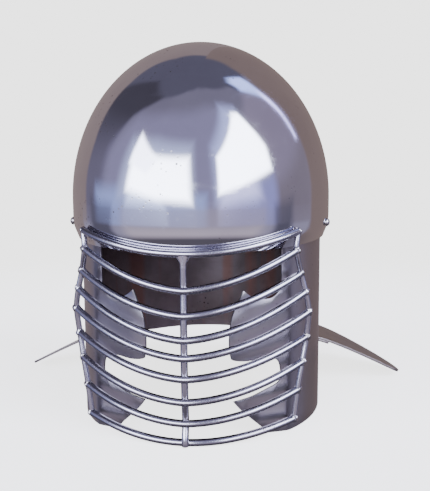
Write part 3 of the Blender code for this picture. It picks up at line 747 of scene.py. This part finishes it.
def make_bars():
    """All bars, the post and the side rods in one mesh."""
    shape = bmesh.new()
    for line in BAR_LINES:
        add_rod(shape, line, BAR["radius"])
    add_rod(shape, post_line(), BAR["post"])
    for side in (1.0, -1.0):
        ends = [Vector((side * line[-1].x, line[-1].y, line[-1].z)) for line in BAR_LINES]
        add_rod(shape, through(ends, 4), BAR["side"])
    return new_object("face_grill_bars", shape)


bars = make_bars()
stands_for(bars, "face_grill", crease=60.0)

# %% [markdown]
# A weld is a small frozen puddle. Each one starts as an icosphere, is stretched, pushed about by
# smooth noise so that no two are alike, and sunk into its joint. At the brow the puddle spreads into a
# little web between post and bar.

# %% Weld beads
def add_bead(shape, place, size, seed, amount=0.22):
    """A lumpy weld at a place, stretched to its size in millimetres."""
    ball = bmesh.ops.create_icosphere(shape, subdivisions=4, radius=1.0)["verts"]
    for vertex in ball:
        lump = noise.noise(vertex.co * 1.3 + Vector((seed * 3.7, seed, 0.0)))
        vertex.co *= 1.0 + amount * lump
    bmesh.ops.scale(shape, vec=Vector(size) * MM, verts=ball)
    bmesh.ops.translate(shape, vec=at(*place), verts=ball)


def make_beads():
    """Welds at the ends of the bars, along the post and at the brow."""
    shape = bmesh.new()
    for index, line in enumerate(BAR_LINES):
        for side in (1.0, -1.0):
            end = line[-1] if side > 0.0 else line[0]
            size = (2.9, 2.9, 2.9) if index == 0 else (3.3, 3.3, 3.5)
            add_bead(shape, end, size, index * 2.0 + side)
        middle = line[len(line) // 2]
        if 0 < index < len(BAR_LINES) - 1:
            add_bead(shape, middle + Vector((0.0, 2.2, 0.0)), (4.0, 2.2, 3.0), index + 40.0)
    return shape


WEB = {"height": 9.0, "steps": 12, "half_width": 2.5, "half_depth": 2.4, "spread": 4.2, "curve": 2.6,
       "forward": 0.2}


def add_web(shape):
    """The web of weld that spreads from the post into the brow bar."""
    top = Vector(post_line()[0])
    foot = (Matrix.Translation(at(top.x, top.y - WEB["forward"], top.z - WEB["height"]))
            @ Matrix.Diagonal((WEB["half_width"] * MM, WEB["half_depth"] * MM, 1.0, 1.0)))
    ring = bmesh.ops.create_circle(shape, cap_ends=True, segments=32, radius=1.0, matrix=foot)["verts"]
    edges = list({edge for vertex in ring for edge in vertex.link_edges})
    width = WEB["half_width"]
    for step in range(1, WEB["steps"] + 1):
        share = step / WEB["steps"]
        wall = bmesh.ops.extrude_edge_only(shape, edges=edges)["geom"]
        ring = [item for item in wall if isinstance(item, bmesh.types.BMVert)]
        edges = [item for item in wall if isinstance(item, bmesh.types.BMEdge) and item.is_boundary]
        wider = WEB["half_width"] + WEB["spread"] * share ** WEB["curve"]
        bmesh.ops.translate(shape, vec=(0, 0, WEB["height"] * MM / WEB["steps"]), verts=ring)
        bmesh.ops.scale(shape, vec=(wider / width, 1.0, 1.0), verts=ring,
                        space=Matrix.Translation(-at(top.x, top.y, top.z)))
        width = wider
    bmesh.ops.holes_fill(shape, edges=edges, sides=33)


bead_shape = make_beads()
add_web(bead_shape)
beads = new_object("face_grill_welds", bead_shape)
stands_for(beads, "face_grill", crease=60.0)

# %% [markdown]
# ## Side rivets
#
# A rivet is a turned part, so its half section is spun round its own axis: domed head outside, shaft
# through both sheets and a flattened foot inside.

# %% Spin a rivet
RIVET = {"shaft": 2.4, "head": 3.4, "dome": 2.8, "foot": 1.4, "gap": 0.3, "grip": 4.9}


def rivet_seat():
    """Place and outward direction of the rivet on the bowl's left side."""
    share = wall_share(0.0)
    x = BOWL["half_width"] * math.sqrt(share ** 2 - (BOWL["centre_y"] / BOWL["half_length"]) ** 2)
    outward = Vector((x / BOWL["half_width"] ** 2, -BOWL["centre_y"] / BOWL["half_length"] ** 2, 0.0))
    return at(x, 0.0, 0.0), outward.normalized()


def make_rivet():
    """Half section, spun and carried to its seat."""
    shape = bmesh.new()
    section = [(0.0, RIVET["gap"] + RIVET["dome"])]
    for step in range(1, 12):
        turn = math.radians(7.5 * step)
        section.append((RIVET["head"] * math.sin(turn), RIVET["gap"] + RIVET["dome"] * math.cos(turn)))
    end = -RIVET["grip"] - RIVET["foot"]
    section += [(RIVET["head"], RIVET["gap"]), (RIVET["shaft"], RIVET["gap"]),
                (RIVET["shaft"], -RIVET["grip"]), (RIVET["head"], -RIVET["grip"]),
                (RIVET["head"] * 0.96, end), (0.0, end)]
    corners = [shape.verts.new((x * MM, 0.0, z * MM)) for x, z in section]
    edges = [shape.edges.new(pair) for pair in zip(corners, corners[1:])]
    bmesh.ops.spin(shape, geom=corners + edges, cent=(0, 0, 0), axis=(0, 0, 1), angle=math.tau, steps=32,
                   use_merge=True)
    place, outward = rivet_seat()
    seat = Matrix.Translation(place) @ outward.to_track_quat("Z", "Y").to_matrix().to_4x4()
    bmesh.ops.transform(shape, matrix=seat, verts=shape.verts)
    return new_object("side_rivet_left_turned", shape)


left_rivet = make_rivet()
right_rivet = mirror_copy(left_rivet, "side_rivet_right_turned")
stands_for(left_rivet, "side_rivet_left", crease=40.0)
stands_for(right_rivet, "side_rivet_right", crease=40.0)

# %% [markdown]
# ## Finishes
#
# All pieces are bare steel, but each has been polished to a different degree. Four effects are
# shared: fine polishing scratches, small rust pits, clouds where hands and rags have dulled the
# surface, and the runs that damp leaves on unpolished sheet. Each is a node group with its own inputs,
# so a material only chooses how much it wants.

# %% Helpers for node groups
def new_group(name, inputs, outputs):
    """A shader node group with float inputs and outputs."""
    group = bpy.data.node_groups.new(name, "ShaderNodeTree")
    group.interface.new_socket("Vector", in_out="INPUT", socket_type="NodeSocketVector")
    for label, value in inputs:
        socket = group.interface.new_socket(label, in_out="INPUT", socket_type="NodeSocketFloat")
        socket.default_value = value
    for label in outputs:
        group.interface.new_socket(label, in_out="OUTPUT", socket_type="NodeSocketFloat")
    return group, group.nodes.new("NodeGroupInput"), group.nodes.new("NodeGroupOutput")


def stretch(tree, vector, scale, turn=(0.0, 0.0, 0.0)):
    """A Mapping node that stretches and turns a pattern."""
    node = tree.nodes.new("ShaderNodeMapping")
    node.inputs["Scale"].default_value = scale
    node.inputs["Rotation"].default_value = [math.radians(value) for value in turn]
    tree.links.new(vector, node.inputs["Vector"])
    return node.outputs[0]


def noise_value(tree, vector, scale, detail=3.0, roughness=0.6):
    """The value of a noise texture."""
    node = tree.nodes.new("ShaderNodeTexNoise")
    node.inputs["Detail"].default_value = detail
    node.inputs["Roughness"].default_value = roughness
    tree.links.new(vector, node.inputs["Vector"])
    if isinstance(scale, bpy.types.NodeSocket):
        tree.links.new(scale, node.inputs["Scale"])
    else:
        node.inputs["Scale"].default_value = scale
    return node.outputs[0]


print("helpers ready")


# %% Scratches, pits, clouds and runs
def scratches_group():
    """Thin lines in two crossing directions."""
    group, source, sink = new_group("polishing_scratches", (("Scale", 90.0), ("Amount", 1.0)), ("Height",))
    total = None
    for turn, pull in (((8.0, 20.0, 35.0), (1.0, 0.04, 1.0)), ((-15.0, 70.0, -40.0), (0.05, 1.0, 1.0))):
        moved = stretch(group, source.outputs["Vector"], pull, turn)
        lines = noise_value(group, moved, source.outputs["Scale"], 2.0, 0.7)
        thin = ramp(group, ((0.60, 0.0), (0.70, 1.0)), lines)
        total = thin if total is None else calculate(group, "MAXIMUM", total, thin)
    group.links.new(calculate(group, "MULTIPLY", total, source.outputs["Amount"]), sink.inputs["Height"])
    return group


def pits_group():
    """Scattered small dots, more of them in some areas."""
    group, source, sink = new_group("rust_pits", (("Scale", 260.0), ("Amount", 1.0)), ("Mask",))
    cells = group.nodes.new("ShaderNodeTexVoronoi")
    cells.inputs["Randomness"].default_value = 1.0
    group.links.new(source.outputs["Vector"], cells.inputs["Vector"])
    group.links.new(source.outputs["Scale"], cells.inputs["Scale"])
    dots = ramp(group, ((0.0, 1.0), (0.16, 0.8), (0.24, 0.0)), cells.outputs["Distance"])
    areas = ramp(group, ((0.54, 0.0), (0.66, 1.0)), noise_value(group, source.outputs["Vector"], 22.0, 4.0))
    mask = calculate(group, "MULTIPLY", dots, areas)
    group.links.new(calculate(group, "MULTIPLY", mask, source.outputs["Amount"]), sink.inputs["Mask"])
    return group


def clouds_group():
    """Soft clouds of duller steel."""
    group, source, sink = new_group("rag_clouds", (("Scale", 14.0), ("Amount", 1.0)), ("Mask",))
    cloud = noise_value(group, source.outputs["Vector"], source.outputs["Scale"], 5.0, 0.55)
    mask = ramp(group, ((0.35, 0.0), (0.70, 1.0)), cloud)
    group.links.new(calculate(group, "MULTIPLY", mask, source.outputs["Amount"]), sink.inputs["Mask"])
    return group


def runs_group():
    """Upright streaks, as left by damp that ran down."""
    group, source, sink = new_group("damp_runs", (("Scale", 60.0), ("Amount", 1.0)), ("Mask",))
    moved = stretch(group, source.outputs["Vector"], (1.0, 1.0, 0.04))
    streaks = noise_value(group, moved, source.outputs["Scale"], 2.0, 0.5)
    mask = ramp(group, ((0.50, 0.0), (0.66, 1.0)), streaks)
    group.links.new(calculate(group, "MULTIPLY", mask, source.outputs["Amount"]), sink.inputs["Mask"])
    return group


EFFECTS = {"scratches": scratches_group(), "pits": pits_group(), "clouds": clouds_group(),
           "runs": runs_group()}
print("effects:", ", ".join(EFFECTS))

# %% [markdown]
# The steel itself is one recipe with different numbers. Base Colour is the tint of the metal, dulled
# by clouds and darkened in the pits; on the cheek plates the tint is also darkened as painted shade.
# Roughness rises in the clouds; scratches and pits give the height. The inside of bowl and plates is
# left as it came from the forge, with streaks.

# %% The steel recipe
def place_effect(tree, effect, vector, **values):
    """One effect group in a material."""
    node = tree.nodes.new("ShaderNodeGroup")
    node.node_tree = EFFECTS[effect]
    tree.links.new(vector, node.inputs["Vector"])
    for label, value in values.items():
        node.inputs[label].default_value = value
    return node.outputs[0]


def mix_colour(tree, factor, first, second):
    """A colour between two, each a colour or a socket."""
    node = tree.nodes.new("ShaderNodeMix")
    node.data_type = "RGBA"
    tree.links.new(factor, node.inputs["Factor"])
    for label, value in (("A", first), ("B", second)):
        if isinstance(value, bpy.types.NodeSocket):
            tree.links.new(value, node.inputs[label])
        else:
            node.inputs[label].default_value = (*value, 1.0)
    return node.outputs["Result"]


# A face is inside when it looks towards the head; height counts for less than going round
INSIDE = {"height_counts": 0.35, "facing": 0.25}


def inside_faces(piece, centre):
    """Give the second material slot to the faces that look towards the head."""
    count = 0
    for face in piece.data.polygons:
        towards = centre - face.center
        towards.z *= INSIDE["height_counts"]
        if face.normal.dot(towards.normalized()) > INSIDE["facing"]:
            face.material_index = 1
            count += 1
    return count


# Hammer waves too shallow to see, except in what the sheet mirrors
SWELL = {"scale": 26.0, "detail": 1.0, "roughness": 0.4, "distance": 0.0004}


def steel(name, bright, dull, pit, polish, cloud_roughness, scratch=0.5, pits=1.0, bump=0.2, scale=1.0,
          waves=0.0, streak=None):
    """Bare steel, polished to a grade; hammered sheet has waves, and an unpolished face has streaks."""
    material = bpy.data.materials.new(name)
    tree = node_tree(material)
    output = tree.nodes.new("ShaderNodeOutputMaterial")
    shader = tree.nodes.new("ShaderNodeBsdfPrincipled")
    shader.inputs["Metallic"].default_value = 1.0
    tree.links.new(shader.outputs[0], output.inputs["Surface"])
    vector = tree.nodes.new("ShaderNodeTexCoord").outputs["Object"]
    cloud = place_effect(tree, "clouds", vector, Scale=14.0 * scale, Amount=1.0)
    dots = place_effect(tree, "pits", vector, Scale=260.0 * scale, Amount=pits)
    lines = place_effect(tree, "scratches", vector, Scale=90.0 * scale, Amount=scratch)
    colour = mix_colour(tree, cloud, bright, dull)
    colour = mix_colour(tree, dots, colour, pit)
    if streak:
        colour = mix_colour(tree, place_effect(tree, "runs", vector, Scale=60.0, Amount=0.8), colour, streak)
    tree.links.new(colour, shader.inputs["Base Color"])
    rough = calculate(tree, "MULTIPLY_ADD", cloud, cloud_roughness, polish)
    rough = calculate(tree, "MULTIPLY_ADD", dots, 0.35, rough)
    rough = calculate(tree, "MULTIPLY_ADD", lines, 0.10, rough)
    tree.links.new(rough, shader.inputs["Roughness"])
    height = calculate(tree, "MULTIPLY_ADD", dots, -1.0, calculate(tree, "MULTIPLY", lines, -0.4))
    relief = tree.nodes.new("ShaderNodeBump")
    relief.inputs["Strength"].default_value = bump
    relief.inputs["Distance"].default_value = 0.0001
    tree.links.new(height, relief.inputs["Height"])
    tree.links.new(relief.outputs[0], shader.inputs["Normal"])
    if waves:
        swell = tree.nodes.new("ShaderNodeBump")
        swell.inputs["Strength"].default_value = waves
        swell.inputs["Distance"].default_value = SWELL["distance"]
        swollen = noise_value(tree, vector, SWELL["scale"], SWELL["detail"], SWELL["roughness"])
        tree.links.new(swollen, swell.inputs["Height"])
        tree.links.new(swell.outputs[0], relief.inputs["Normal"])
    return material


STEELS = {
    "bowl": steel("mirror_steel", (0.72, 0.71, 0.77), (0.65, 0.63, 0.69), (0.14, 0.12, 0.11), 0.06, 0.05,
                  waves=0.5),
    # The cheek plates' dark tint is partly their satin finish and partly painted shade, darkened to stand for
    # the shade they sit in
    "plate": steel("satin_steel_painted_shade", (0.405, 0.375, 0.415), (0.31, 0.285, 0.31), (0.16, 0.13, 0.12), 0.29, 0.05,
                   scratch=0.10, pits=0.5, bump=0.02, waves=0.2),
    "guard": steel("dull_steel", (0.40, 0.36, 0.35), (0.30, 0.265, 0.255), (0.12, 0.09, 0.08), 0.30, 0.10,
                   scratch=0.5, bump=0.10),
    "bars": steel("bar_steel", (0.46, 0.445, 0.51), (0.36, 0.34, 0.39), (0.12, 0.10, 0.09), 0.18, 0.07,
                  scratch=0.4, bump=0.08, scale=1.6),
    "welds": steel("weld_steel", (0.55, 0.53, 0.58), (0.34, 0.31, 0.31), (0.10, 0.07, 0.06), 0.16, 0.16,
                   bump=0.25, scale=3.0),
    "rivets": steel("rivet_steel", (0.58, 0.56, 0.57), (0.40, 0.37, 0.36), (0.10, 0.07, 0.06), 0.16, 0.12,
                    bump=0.1, scale=2.0),
    "inside": steel("inside_steel", (0.31, 0.26, 0.275), (0.24, 0.195, 0.195), (0.09, 0.065, 0.055), 0.55,
                    0.12, bump=0.1, streak=(0.33, 0.19, 0.165))}
print("steels:", ", ".join(STEELS))

# %% Put the finishes on
FINISHES = ((bowl, "bowl"), (left_plate, "plate"), (right_plate, "plate"), (guard, "guard"),
            (flange, "guard"), (bars, "bars"), (beads, "welds"), (left_rivet, "rivets"),
            (right_rivet, "rivets"))
for piece, finish in FINISHES:
    piece.data.materials.clear()
    piece.data.materials.append(STEELS[finish])
    print(piece.name, "has", STEELS[finish].name)
for piece in (bowl, left_plate, right_plate):
    piece.data.materials.append(STEELS["inside"])
    print(piece.name, "has", inside_faces(piece, at(0.0, BOWL["centre_y"], 0.0)), "inside faces")
